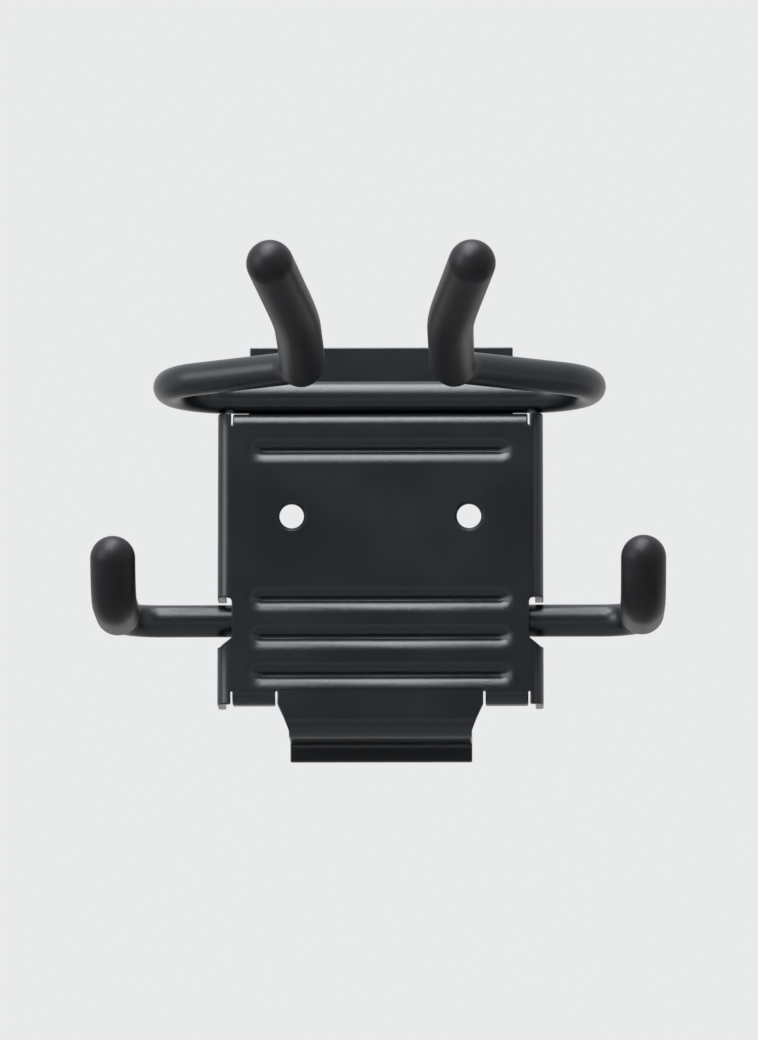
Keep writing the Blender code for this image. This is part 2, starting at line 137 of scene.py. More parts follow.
def seen_directly(tree: bpy.types.NodeTree) -> bpy.types.NodeSocket:
    """Tells the rays that look at a surface from those that only pass its light on.

    Args:
        tree: The node tree to add to.

    Returns:
        A socket that is 1 for rays from the camera, from gloss and through glass, and else 0.
    """
    path = add_node(tree, "LightPath", {}).outputs
    seen = path["Is Camera Ray"]
    for ray in ("Is Glossy Ray", "Is Transmission Ray"):
        seen = add_node(tree, "Math", {"operation": "MAXIMUM"}, i0=seen, i1=path[ray]).outputs[0]
    return seen


def blank_material(name: str) -> tuple[bpy.types.Material, bpy.types.Node, bpy.types.NodeSocket]:
    """Makes a material that still has to be drawn.

    Args:
        name: The material's name.

    Returns:
        The material, its shader, and a socket that gives the place on the piece.
    """
    made = bpy.data.materials.new(name)
    made.use_nodes = True
    place = add_node(made.node_tree, "TexCoord", {}).outputs["Object"]
    return made, made.node_tree.nodes["Principled BSDF"], place


# Finishes


@dataclass(frozen=True)
class PowderCoat:
    """Satin black polyester powder coat over mild steel, sprayed dry and baked.

    The eye sees a deep blue-black, a soft broad highlight along every bend, and a faint orange
    peel in that highlight where the powder flowed. The coat draws thin over sharp edges.
    """

    name: str = "powder_coated_steel"
    colour: str = "#13171B"
    dusted_colour: str = "#191D22"
    edge_colour: str = "#3A3F46"
    edge_reach_mm: float = 0.4
    edge_samples: int = 4
    thin_at: float = 0.88
    full_at: float = 0.985
    ior: float = 1.5
    roughness: float = 0.32
    roughness_swing: float = 0.06
    peel_mm: float = 1.5
    peel_detail: float = 1.5
    peel_height_mm: float = 0.035
    grain_mm: float = 0.30
    grain_detail: float = 2.0
    grain_height_mm: float = 0.006
    cloud_mm: float = 16.0
    cloud_detail: float = 4.0
    clear_below: float = 0.35
    dusted_above: float = 0.75

    def material(self) -> bpy.types.Material:
        """Draws the coat with nodes.

        Returns:
            The material.
        """
        made, shader, place = blank_material(self.name)
        tree = made.node_tree
        cloud = add_node(tree, "TexNoise", {}, Vector=place, Scale=cycles_for(self.cloud_mm),
                         Detail=self.cloud_detail)
        # Real peel is finer than this, and would vanish at the size of the render.
        peel = add_node(tree, "TexNoise", {}, Vector=place, Scale=cycles_for(self.peel_mm),
                        Detail=self.peel_detail)
        grain = add_node(tree, "TexNoise", {}, Vector=place, Scale=cycles_for(self.grain_mm),
                         Detail=self.grain_detail)
        tint = add_node(tree, "ValToRGB", {}, Fac=cloud.outputs["Fac"])
        clear, dusted = linear(self.colour), linear(self.dusted_colour)
        set_stops(tint, [(self.clear_below, clear), (self.dusted_above, dusted)])
        # Near an edge the rounded normal leaves the true one, and there the coat is thin.
        rounded = add_node(tree, "Bevel", {"samples": self.edge_samples}, Radius=self.edge_reach_mm * MM)
        true = add_node(tree, "NewGeometry", {}).outputs["Normal"]
        agree = add_node(tree, "VectorMath", {"operation": "DOT_PRODUCT"},
                         i0=rounded.outputs["Normal"], i1=true)
        thin = add_node(tree, "MapRange", {}, Value=agree.outputs["Value"], From_Min=self.thin_at,
                        From_Max=self.full_at, To_Min=1.0, To_Max=0.0)
        patchy = add_node(tree, "Math", {"operation": "MULTIPLY"}, i0=thin.outputs["Result"],
                          i1=cloud.outputs["Fac"])
        worn = add_node(tree, "MixRGB", {}, Fac=patchy.outputs[0], Color1=tint.outputs["Color"],
                        Color2=linear(self.edge_colour))
        tree.links.new(worn.outputs["Color"], shader.inputs["Base Color"])
        low, high = self.roughness - self.roughness_swing, self.roughness + self.roughness_swing
        rough = add_node(tree, "MapRange", {}, Value=cloud.outputs["Fac"], To_Min=low, To_Max=high)
        tree.links.new(rough.outputs["Result"], shader.inputs["Roughness"])
        fine = add_node(tree, "Bump", {}, Height=grain.outputs["Fac"], Distance=self.grain_height_mm * MM)
        bump = add_node(tree, "Bump", {}, Height=peel.outputs["Fac"], Distance=self.peel_height_mm * MM,
                        Normal=fine.outputs["Normal"])
        tree.links.new(bump.outputs["Normal"], shader.inputs["Normal"])
        shader.inputs["Metallic"].default_value = 0.0
        shader.inputs["IOR"].default_value = self.ior
        return made


@dataclass(frozen=True)
class MouldedRubber:
    """Matt black thermoplastic rubber, injection moulded in a lightly blasted mould.

    The eye sees a soft, warm black that goes grey where light grazes it, with a very fine even
    grain and no sharp highlight.
    """

    name: str = "moulded_rubber"
    colour: str = "#1A191B"
    bloom_colour: str = "#242325"
    ior: float = 1.5
    specular: float = 0.25
    roughness: float = 0.44
    roughness_swing: float = 0.06
    grain_mm: float = 0.45
    grain_detail: float = 3.0
    grain_height_mm: float = 0.03
    cloud_mm: float = 9.0
    cloud_detail: float = 5.0
    clear_below: float = 0.38
    bloomed_above: float = 0.72

    def material(self) -> bpy.types.Material:
        """Draws the rubber with nodes.

        Returns:
            The material.
        """
        made, shader, place = blank_material(self.name)
        tree = made.node_tree
        cloud = add_node(tree, "TexNoise", {}, Vector=place, Scale=cycles_for(self.cloud_mm),
                         Detail=self.cloud_detail)
        # Drawn about twice as coarse as a blasted mould leaves it, so that it shows.
        grain = add_node(tree, "TexNoise", {}, Vector=place, Scale=cycles_for(self.grain_mm),
                         Detail=self.grain_detail)
        tint = add_node(tree, "ValToRGB", {}, Fac=cloud.outputs["Fac"])
        clear, bloomed = linear(self.colour), linear(self.bloom_colour)
        set_stops(tint, [(self.clear_below, clear), (self.bloomed_above, bloomed)])
        tree.links.new(tint.outputs["Color"], shader.inputs["Base Color"])
        low, high = self.roughness - self.roughness_swing, self.roughness + self.roughness_swing
        rough = add_node(tree, "MapRange", {}, Value=grain.outputs["Fac"], To_Min=low, To_Max=high)
        tree.links.new(rough.outputs["Result"], shader.inputs["Roughness"])
        bump = add_node(tree, "Bump", {}, Height=grain.outputs["Fac"], Distance=self.grain_height_mm * MM)
        tree.links.new(bump.outputs["Normal"], shader.inputs["Normal"])
        shader.inputs["Metallic"].default_value = 0.0
        shader.inputs["IOR"].default_value = self.ior
        shader.inputs["Specular IOR Level"].default_value = self.specular
        return made


@dataclass(frozen=True)
class StudioPaper:
    """Matt pale paper for the floor and the sweep behind the object.

    The eye sees plain pale paper. The floor under the object takes its shadow, and the far
    sweep shows its own colour evenly, without light that would also fall on the object. Only
    light that bounces off the floor finds a darker paper, so that undersides stay deep.
    """

    name: str = "studio_paper"
    colour: str = "#E9EAEB"
    bounce_colour: str = "#6E7073"
    roughness: float = 0.9
    grain_mm: float = 3.0
    grain_height_mm: float = 0.02
    shadow_reach: float = 2.2
    even_from: float = 4.6

    def material(self) -> bpy.types.Material:
        """Draws the paper with nodes.

        Returns:
            The material.
        """
        made, shader, place = blank_material(self.name)
        tree = made.node_tree
        # Real paper is finer than this, and would show as nothing from where the camera stands.
        grain = add_node(tree, "TexNoise", {}, Vector=place, Scale=cycles_for(self.grain_mm))
        bump = add_node(tree, "Bump", {}, Height=grain.outputs["Fac"], Distance=self.grain_height_mm * MM)
        tree.links.new(bump.outputs["Normal"], shader.inputs["Normal"])
        seen = seen_directly(tree)
        near = add_node(tree, "MixRGB", {}, Fac=seen, Color1=linear(self.bounce_colour),
                        Color2=linear(self.colour))
        tree.links.new(near.outputs["Color"], shader.inputs["Base Color"])
        shader.inputs["Roughness"].default_value = self.roughness
        away = add_node(tree, "VectorMath", {"operation": "LENGTH"}, Vector=place).outputs["Value"]
        far = add_node(tree, "MapRange", {"interpolation_type": "SMOOTHSTEP"}, Value=away,
                       From_Min=self.shadow_reach, From_Max=self.even_from)
        even = add_node(tree, "Math", {"operation": "MULTIPLY"}, i0=far.outputs["Result"], i1=seen)
        shown = add_node(tree, "Emission", {}, Color=linear(self.colour), Strength=1.0)
        mix = add_node(tree, "MixShader", {}, i0=even.outputs[0], i1=shader.outputs[0], i2=shown.outputs[0])
        tree.links.new(mix.outputs[0], tree.nodes["Material Output"].inputs["Surface"])
        return made


# Wire paths and tubes


@dataclass(frozen=True)
class Station:
    """A place on a path, with the direction of travel and two directions across it."""

    point: Vector
    along: Vector
    across: Vector
    up: Vector


def bent_path(corners: list[Vector], radii: list[float], step_degrees: float = 4.0,
              least_steps: int = 8) -> list[Vector]:
    """Bends a line of straights to a radius at each inner corner.

    Args:
        corners: The ends and corners of the line.
        radii: One radius for each inner corner.
        step_degrees: The largest turn between two points of a bend.
        least_steps: How many steps even a gentle bend gets.

    Returns:
        The points of the bent line.
    """
    points = [corners[0]]
    for index, radius in enumerate(radii):
        before, corner, after = corners[index : index + 3]
        coming = (corner - before).normalized()
        going = (after - corner).normalized()
        turn = coming.angle(going)
        axis = coming.cross(going).normalized()
        start = corner - coming * radius * math.tan(turn / 2)
        centre = start + axis.cross(coming) * radius
        count = max(least_steps, math.ceil(math.degrees(turn) / step_degrees))
        for step in range(count + 1):
            points.append(centre + Quaternion(axis, turn * step / count) @ (start - centre))
    points.append(corners[-1])
    kept = points[:1]
    for point in points[1:]:
        if (point - kept[-1]).length > CLOSE:
            kept.append(point)
    return kept


def stations_along(points: list[Vector]) -> list[Station]:
    """Carries a cross-section along a path without twisting it.

    Args:
        points: The points of the path.

    Returns:
        One station for each point.
    """
    steps = [(b - a).normalized() for a, b in zip(points, points[1:])]
    travel = [steps[0], *[(a + b).normalized() for a, b in zip(steps, steps[1:])], steps[-1]]
    across = travel[0].orthogonal().normalized()
    stations = []
    for point, along in zip(points, travel):
        across = (across - along * across.dot(along)).normalized()
        stations.append(Station(point, along, across, along.cross(across)))
    return stations


def quarter_turn(steps: int) -> list[float]:
    """The angles of a quarter turn in even steps, from nothing to the full quarter."""
    return [math.pi / 2 * step / steps for step in range(steps + 1)]


def past_end(corners: list[Vector], distance: float) -> list[Vector]:
    """The same corners, with the last one moved on along its own run."""
    return [*corners[:-1], corners[-1] + (corners[-1] - corners[-2]).normalized() * distance]


def mirrored(corners: list[Vector]) -> list[Vector]:
    """The same corners on the other side of the hanger, in the opposite order."""
    return [Vector((-corner.x, corner.y, corner.z)) for corner in reversed(corners)]


@dataclass
class Draft:
    """A mesh that is being drawn, ring by ring or face by face."""

    mesh: bmesh.types.BMesh = field(default_factory=bmesh.new)

    def ring(self, at: Station, radius: float, sides: int, shift: float = 0.0,
             flatness: float = 1.0) -> Vertices:
        """A ring of vertices round a station.

        Args:
            at: The station.
            radius: The ring's radius.
            sides: How many vertices it has.
            shift: How far it is moved along the direction of travel.
            flatness: Its height as a share of its width.

        Returns:
            The vertices, in order.
        """
        found = []
        for index in range(sides):
            angle = 2 * math.pi * index / sides
            arm = at.across * math.cos(angle) + at.up * math.sin(angle) * flatness
            found.append(self.mesh.verts.new(at.point + at.along * shift + arm * radius))
        return found

    def bridge(self, first: Vertices, second: Vertices) -> None:
        """Makes a band of quads between two rings.

        Args:
            first: The one ring.
            second: The other, with as many vertices.
        """
        for index, vertex in enumerate(first):
            after = (index + 1) % len(first)
            self.mesh.faces.new((vertex, first[after], second[after], second[index]))

    def fan(self, ring: Vertices, apex: Vector) -> None:
        """Makes a fan of triangles from a ring to a point.

        Args:
            ring: The ring.
            apex: The point.
        """
        tip = self.mesh.verts.new(apex)
        for index, vertex in enumerate(ring):
            self.mesh.faces.new((vertex, ring[(index + 1) % len(ring)], tip))

    def skin(self, rings: list[Vertices], start: Vector, end: Vector) -> None:
        """Joins rings into one closed skin that comes to a point at each end.

        Args:
            rings: The rings, in order.
            start: The point before the first ring.
            end: The point after the last one.
        """
        self.fan(rings[0], start)
        for first, second in zip(rings, rings[1:]):
            self.bridge(first, second)
        self.fan(rings[-1], end)

    def made(self, name: str, smooth_degrees: float = 40.0) -> bpy.types.Object:
        """Turns the draft into an object in the scene.

        Args:
            name: The object's name.
            smooth_degrees: Edges sharper than this stay sharp.

        Returns:
            The object.
        """
        bmesh.ops.recalc_face_normals(self.mesh, faces=self.mesh.faces)
        data = bpy.data.meshes.new(name)
        self.mesh.to_mesh(data)
        self.mesh.free()
        data.shade_smooth()
        data.set_sharp_from_angle(angle=math.radians(smooth_degrees))
        piece = bpy.data.objects.new(name, data)
        bpy.context.scene.collection.objects.link(piece)
        return piece


def settle(piece: bpy.types.Object, smooth_degrees: float) -> None:
    """Applies a piece's modifiers to its mesh.

    Args:
        piece: The piece.
        smooth_degrees: Edges sharper than this stay sharp.
    """
    graph = bpy.context.evaluated_depsgraph_get()
    data = bpy.data.meshes.new_from_object(piece.evaluated_get(graph))
    piece.modifiers.clear()
    piece.data = data
    data.shade_smooth()
    data.set_sharp_from_angle(angle=math.radians(smooth_degrees))


def declare(piece: bpy.types.Object, node: str, material: bpy.types.Material) -> None:
    """Gives a piece its material and says which node of the part it stands for.

    Args:
        piece: The finished piece.
        node: The CAD node that it replaces.
        material: Its material.
    """
    piece.data.materials.clear()
    piece.data.materials.append(material)
    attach(piece, BODY)
    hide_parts(node)
    log.info("%s stands for %s, %d faces", piece.name, node, len(piece.data.polygons))


# Sizes that more than one piece uses


@dataclass(frozen=True)
class Stock:
    """The steel that the hanger is made from, and the fit of its pieces."""

    sheet: float = 1.8 * MM
    rod_radius: float = 3.65 * MM
    clearance: float = 0.3 * MM
    back_gap: float = 1.6 * MM
    seat_pitch: float = 76.2 * MM
    fold_inside: float = 1.0 * MM
    rod_past_dome: float = 1.0 * MM

    @property
    def half_sheet(self) -> float:
        """Half the sheet's thickness."""
        return self.sheet / 2

    @property
    def fold_radius(self) -> float:
        """The middle radius of a sharp fold."""
        return self.fold_inside + self.half_sheet

    @property
    def plate_depth(self) -> float:
        """From the plane that the hanger is mounted on to the plate's front."""
        return self.sheet + self.clearance + 2 * self.rod_radius + self.back_gap


@dataclass
class BackPlate:
    """The folded sheet: face, grooves, side flanges, hook, tongue and lower returns."""

    stock: Stock
    width: float = 73.5 * MM
    height: float = 66.3 * MM
    top: float = -2.6 * MM
    edge_radius: float = 3.0 * MM
    tongue_width: float = 46.3 * MM
    tongue_taper: float = 0.89
    tongue_radius: float = 4.5 * MM
    hook_width: float = 60.0 * MM
    return_width: float = 66.6 * MM
    relief: float = 0.5 * MM
    lip_height: float = 15.0 * MM
    lip_reach: float = 7.0 * MM
    tongue_lip_drop: float = 4.0 * MM
    lower_return: float = 2.4 * MM
    groove_degrees: float = 50.0
    groove_lip: float = 3.0 * MM
    groove_bowl: float = 1.4 * MM
    groove_length: float = 53.0 * MM
    groove_fade: float = 4.0 * MM
    band_margin: float = 1.3 * MM
    lowest_band: float = 6.6 * MM
    low_grooves: int = 3
    # The lower rod's height, in pitches of the bands above the lowest groove.
    rod_band: float = 1.5
    screw_hole: float = 5.5 * MM
    screw_chamfer: float = 0.75 * MM
    screw_spacing: float = 40.0 * MM
    screw_drop: float = 23.6 * MM
    screw_sides: int = 64
    notch_above: float = 1.15 * MM
    notch_below: float = 2.75 * MM
    notch_into_face: float = 0.25 * MM
    notch_corner: float = 0.9 * MM
    notch_corner_cut: float = 0.26 * MM
    notch_slope_width: float = 2.6 * MM
    notch_slope_height: float = 2.0 * MM
    notch_past_flange: float = 4.0 * MM
    cutter_spare: float = 1.5 * MM
    edge_rounding: float = 0.35 * MM
    rounding_segments: int = 3
    rounded_from_degrees: float = 48.0
    smooth_degrees: float = 35.0
    fold_step_degrees: float = 9.0
    flange_steps: int = 9
    arc_steps: int = 7
    fade_steps: int = 10

    def __post_init__(self) -> None:
        """Works out the levels that the folds and grooves share."""
        stock = self.stock
        self.face_y = -stock.plate_depth
        self.middle_y = self.face_y + stock.half_sheet
        self.bottom = self.top - self.height
        self.edge_middle = self.edge_radius - stock.half_sheet
        self.flat_half = self.width / 2 - self.edge_radius
        self.band_pitch = 2 * stock.rod_radius + self.band_margin
        turn = math.radians(self.groove_degrees)
        self.bowl_half = self.groove_bowl * math.sin(turn)
        self.groove_half = self.bowl_half + self.groove_lip * math.sin(turn)
        self.groove_depth = (self.groove_lip + self.groove_bowl) * (1 - math.cos(turn))
        self.low_groove = self.bottom + self.lowest_band
        rows = [self.low_groove + self.band_pitch * step for step in range(self.low_grooves)]
        self.grooves = [*rows, self.top - self.band_pitch]
        self.riser_y = self.face_y + 2 * stock.rod_radius + stock.clearance + stock.half_sheet
        self.return_z = self.top - stock.half_sheet
        self.lip_y = self.lip_reach - stock.half_sheet
        self.pole_rod_z = self.low_groove + self.rod_band * self.band_pitch

    def press_depth(self, x: float, z: float) -> float:
        """How far the sheet is pressed back.

        Args:
            x: Place across the plate.
            z: Height on the plate.

        Returns:
            The depth of the pressing there, which fades out at the ends of a groove.
        """
        fade = min(1.0, max(0.0, (abs(x) - self.groove_length / 2) / self.groove_fade))
        share = 1 - fade * fade * (3 - 2 * fade)
        nearest = min(abs(z - groove) for groove in self.grooves)
        if nearest >= self.groove_half:
            return 0.0
        if nearest > self.bowl_half:
            rest = self.groove_half - nearest
            return share * (self.groove_lip - math.sqrt(self.groove_lip**2 - rest**2))
        bowl = math.sqrt(self.groove_bowl**2 - nearest**2)
        return share * (self.groove_depth - self.groove_bowl + bowl)

    def columns(self) -> list[tuple[float, float]]:
        """Sets out the columns of the face, round to the backs of the side flanges.

        Returns:
            Each column's x, and how far it lies behind the face.
        """
        flat = [width / 2 for width in (self.tongue_width, self.hook_width, self.return_width)]
        flat.append(self.tongue_width / 2 + self.relief)
        for step in range(self.fade_steps + 1):
            flat.append(self.groove_length / 2 + self.groove_fade * step / self.fade_steps)
        half = [(x, 0.0) for x in sorted(flat)]
        for angle in quarter_turn(self.flange_steps):
            back = self.edge_middle * (1 - math.cos(angle))
            half.append((self.flat_half + self.edge_middle * math.sin(angle), back))
        half.append((self.width / 2 - self.stock.half_sheet, -self.middle_y))
        return [(-x, back) for x, back in reversed(half)] + half

    def rows(self, low: float, high: float) -> list[float]:
        """Sets out the rows of the face, close together where a groove is pressed.

        Args:
            low: The lowest row.
            high: The highest row.

        Returns:
            The heights of the rows, from the lowest up.
        """
        found = [low, high]
        reaches = []
        for step in range(self.arc_steps + 1):
            turned = math.sin(math.radians(self.groove_degrees) * step / self.arc_steps)
            reaches += [self.groove_bowl * turned, self.groove_half - self.groove_lip * turned]
        for groove in self.grooves:
            for way in (-1, 1):
                found += [groove + way * reach for reach in reaches]
        kept: list[float] = []
        for row in sorted(found):
            if not kept or row - kept[-1] > CLOSE:
                kept.append(row)
        return kept

    def flap(self, mesh: bmesh.types.BMesh, border: Vertices, profile: list[Vector],
             share: Callable[[float], float] | None = None) -> Vertices:
        """Carries the sheet on from a border.

        Args:
            mesh: The sheet so far.
            border: The vertices that it goes on from.
            profile: The points of the fold, in the YZ plane.
            share: The part of the border's width that is left at a height, if the flap narrows.

        Returns:
            The new border.
        """
        places = [vertex.co.x for vertex in border]
        for point in profile:
            width = share(point.z) if share else 1.0
            following = [mesh.verts.new((x * width, point.y, point.z)) for x in places]
            self.strip(mesh, border, following)
            border = following
        return border

    @staticmethod
    def strip(mesh: bmesh.types.BMesh, first: Vertices, second: Vertices) -> None:
        """A row of quads between two borders."""
        for index in range(len(first) - 1):
            mesh.faces.new((first[index], first[index + 1], second[index + 1], second[index]))

    @staticmethod
    def between(border: Vertices, one: float, other: float) -> Vertices:
        """The vertices of a border whose x lies between two values."""
        low, high = sorted((one, other))
        return [vertex for vertex in border if low - CLOSE <= vertex.co.x <= high + CLOSE]

    def profile(self, places: list[tuple[float, float]], radii: list[float]) -> list[Vector]:
        """A fold through (y, z) corners, without its first point."""
        return bent_path([Vector((0, y, z)) for y, z in places], radii, self.fold_step_degrees)[1:]

    def hook_profile(self) -> list[Vector]:
        """Folds the sheet from the top of the face over the rod's seat to the hook's lip.

        Returns:
            The points of the fold, in the YZ plane.
        """
        stock = self.stock
        places = [
            (self.middle_y, self.return_z - stock.fold_radius),
            (self.middle_y, self.return_z),
            (self.riser_y, self.return_z),
            (self.riser_y, stock.half_sheet),
            (self.lip_y, stock.half_sheet),
            (self.lip_y, self.lip_height),
        ]
        return self.profile(places, [stock.fold_radius] * (len(places) - 2))

    def tongue_profile(self, start: float) -> list[Vector]:
        """Folds the sheet from the bottom of the face to the tongue's lip.

        Args:
            start: The height of the border that it goes on from.

        Returns:
            The points of the fold, in the YZ plane.
        """
        stock = self.stock
        level = stock.half_sheet - stock.seat_pitch
        places = [
            (self.middle_y, start),
            (self.middle_y, level),
            (self.lip_y, level),
            (self.lip_y, -stock.seat_pitch - self.tongue_lip_drop),
        ]
        folds = self.profile(places, [self.tongue_radius - stock.half_sheet, stock.fold_radius])
        return [Vector((0, self.middle_y, self.bottom)), *folds]

    def tongue_share(self, z: float) -> float:
        """How wide the tongue is, as it narrows down to its bend.

        Args:
            z: A height on the tongue.

        Returns:
            The share of its full width that it has there.
        """
        bend = self.stock.sheet - self.stock.seat_pitch
        down = min(1.0, max(0.0, (self.bottom - z) / (self.bottom - bend)))
        return 1.0 - (1.0 - self.tongue_taper) * down

    def lower_return_profile(self, start: float) -> list[Vector]:
        """Folds the short stiffening flap on either side of the tongue.

        Args:
            start: The height of the border that it goes on from.

        Returns:
            The points of the fold, in the YZ plane.
        """
        level = self.bottom + self.stock.half_sheet
        end = self.middle_y + self.edge_middle + self.lower_return
        places = [(self.middle_y, start), (self.middle_y, level), (end, level)]
        return self.profile(places, [self.edge_middle])

    def sheet(self) -> Draft:
        """Draws the middle surface of the folded sheet.

        Returns:
            The draft, which has no thickness yet.
        """
        draft = Draft()
        mesh = draft.mesh
        low, high = self.bottom + self.edge_radius, self.return_z - self.stock.fold_radius
        rows = []
        for z in self.rows(low, high):
            row = []
            for x, back in self.columns():
                row.append(mesh.verts.new((x, self.middle_y + back + self.press_depth(x, z), z)))
            rows.append(row)
        for lower, upper in zip(rows, rows[1:]):
            self.strip(mesh, lower, upper)
        hook = self.hook_profile()
        seat_end = self.riser_y - self.stock.fold_radius + CLOSE
        seat = [point for point in hook if point.z < self.top and point.y <= seat_end]
        seat_start = self.between(rows[-1], -self.return_width / 2, self.return_width / 2)
        seat_border = self.flap(mesh, seat_start, seat)
        hook_border = self.between(seat_border, -self.hook_width / 2, self.hook_width / 2)
        self.flap(mesh, hook_border, hook[len(seat) :])
        tongue = self.between(rows[0], -self.tongue_width / 2, self.tongue_width / 2)
        self.flap(mesh, tongue, self.tongue_profile(low), self.tongue_share)
        for side in Side:
            inner = side.value * (self.tongue_width / 2 + self.relief)
            outer = side.value * self.return_width / 2
            self.flap(mesh, self.between(rows[0], inner, outer), self.lower_return_profile(low))
            inner, outer = side.value * self.flat_half, side.value * self.width / 2
            for border, level in ((rows[-1], self.top), (rows[0], self.bottom)):
                edge = self.between(border, inner, outer)
                self.strip(mesh, edge, [mesh.verts.new((v.co.x, v.co.y, level)) for v in edge])
        return draft

    def screw_cutter(self, side: Side) -> bpy.types.Object:
        """Makes the cutter of a countersunk hole through the face.

        Args:
            side: The side that the hole is on.

        Returns:
            The cutter.
        """
        draft = Draft()
        radius, spare = self.screw_hole / 2, self.cutter_spare
        at = Station(Vector((side.value * self.screw_spacing / 2, 0, self.top - self.screw_drop)),
                     Vector((0, 1, 0)), Vector((1, 0, 0)), Vector((0, 0, 1)))
        steps = (
            (self.face_y - spare, radius + self.screw_chamfer + spare),
            (self.face_y + self.screw_chamfer, radius),
            (self.face_y + self.stock.sheet + spare, radius),
        )
        rings = [draft.ring(at, size, self.screw_sides, y) for y, size in steps]
        for first, second in zip(rings, rings[1:]):
            draft.bridge(first, second)
        draft.mesh.faces.new(rings[0])
        draft.mesh.faces.new(rings[-1])
        return draft.made("screw_cutter_" + side.word)

    def notch_cutter(self, side: Side) -> bpy.types.Object:
        """Makes the cutter of the notch that the lower rod leaves a side flange through.

        Args:
            side: The side that the notch is on.

        Returns:
            The cutter.
        """
        above = self.pole_rod_z + self.stock.rod_radius + self.notch_above
        below = self.pole_rod_z - self.stock.rod_radius - self.notch_below
        neck = self.flat_half - self.notch_into_face
        outside = self.width / 2 + self.notch_past_flange
        corner, cut, spare = self.notch_corner, self.notch_corner_cut, self.cutter_spare
        outline = [
            (neck, above - corner),
            (neck + cut, above - cut),
            (neck + corner, above),
            (outside, above),
            (outside, below),
            (neck + self.notch_slope_width, below),
            (neck, below + self.notch_slope_height),
        ]
        draft = Draft()
        front = [draft.mesh.verts.new((side.value * x, self.face_y - spare, z)) for x, z in outline]
        back = [draft.mesh.verts.new((side.value * x, spare, z)) for x, z in outline]
        draft.bridge(front, back)
        draft.mesh.faces.new(front)
        draft.mesh.faces.new(back)
        return draft.made("notch_cutter_" + side.word)

    def build(self, coat: bpy.types.Material) -> None:
        """Makes the plate: thickens the sheet, cuts it, rounds its edges and coats it.

        Args:
            coat: Its material.
        """
        plate = self.sheet().made("folded_plate")
        solid = plate.modifiers.new("Thickness", "SOLIDIFY")
        solid.thickness = self.stock.sheet
        solid.offset = 0.0
        solid.use_even_offset = True
        solid.use_quality_normals = True
        cutters = [make(side) for make in (self.screw_cutter, self.notch_cutter) for side in Side]
        for cutter in cutters:
            cut = plate.modifiers.new(cutter.name, "BOOLEAN")
            cut.operation = "DIFFERENCE"
            cut.solver = "EXACT"
            cut.object = cutter
        soft = plate.modifiers.new("Rounded edges", "BEVEL")
        soft.width = self.edge_rounding
        soft.segments = self.rounding_segments
        soft.limit_method = "ANGLE"
        soft.angle_limit = math.radians(self.rounded_from_degrees)
        soft.use_clamp_overlap = False
        settle(plate, self.smooth_degrees)
        for cutter in cutters:
            bpy.data.objects.remove(cutter)
        weigh = plate.modifiers.new("Flat shading", "WEIGHTED_NORMAL")
        weigh.keep_sharp = True
        declare(plate, "back_plate", coat)


@dataclass
class Sleeve:
    """A moulded sleeve: open at one end, with a round dome at the other."""

    stock: Stock
    corners: list[Vector]
    radii: list[float]
    wall: float = 1.05 * MM
    mouth_rounding: float = 0.45 * MM
    inner_lip: float = 0.2 * MM
    mouth_steps: int = 4
    sides: int = 56
    dome_rings: int = 14

    def build(self, name: str, node: str, rubber: bpy.types.Material) -> None:
        """Makes the sleeve.

        Args:
            name: The piece's name.
            node: The CAD node that it stands for.
            rubber: Its material.
        """
        draft = Draft()
        bore = self.stock.rod_radius + self.stock.clearance
        radius = bore + self.wall
        outside = stations_along(bent_path(self.corners, self.radii))
        bore_end = past_end(self.corners, self.stock.rod_past_dome + self.stock.clearance)
        inside = stations_along(bent_path(bore_end, self.radii))
        rings = [draft.ring(at, bore, self.sides) for at in reversed(inside)]
        mouth, end = outside[0], outside[-1]
        rounding = self.mouth_rounding
        rings[-1:] = [
            draft.ring(mouth, bore, self.sides, self.inner_lip),
            draft.ring(mouth, bore + self.inner_lip, self.sides),
        ]
        for angle in quarter_turn(self.mouth_steps):
            lift = rounding * (1 - math.cos(angle))
            rings.append(draft.ring(mouth, radius - rounding + rounding * math.sin(angle), self.sides, lift))
        rings += [draft.ring(at, radius, self.sides) for at in outside[1:]]
        for angle in quarter_turn(self.dome_rings)[1:-1]:
            size, forward = radius * math.cos(angle), radius * math.sin(angle)
            rings.append(draft.ring(end, size, self.sides, forward))
        draft.skin(rings, bore_end[-1], end.point + end.along * radius)
        declare(draft.made(name), node, rubber)


@dataclass
class BentRod:
    """A round steel rod bent along a path, with a small chamfer at each sawn end."""

    stock: Stock
    corners: list[Vector]
    radii: list[float]
    end_chamfer: float = 0.5 * MM
    sides: int = 48
    smooth_degrees: float = 30.0

    def build(self, name: str, node: str, coat: bpy.types.Material) -> None:
        """Makes the rod.

        Args:
            name: The piece's name.
            node: The CAD node that it stands for.
            coat: Its material.
        """
        draft = Draft()
        stations = stations_along(bent_path(self.corners, self.radii))
        radius, chamfer = self.stock.rod_radius, self.end_chamfer
        first, last = stations[0], stations[-1]
        places = [(first, radius - chamfer, 0.0), (first, radius, chamfer)]
        places += [(at, radius, 0.0) for at in stations[1:-1]]
        places += [(last, radius, -chamfer), (last, radius - chamfer, 0.0)]
        rings = [draft.ring(at, size, self.sides, shift) for at, size, shift in places]
        draft.skin(rings, first.point, last.point)
        declare(draft.made(name, self.smooth_degrees), node, coat)


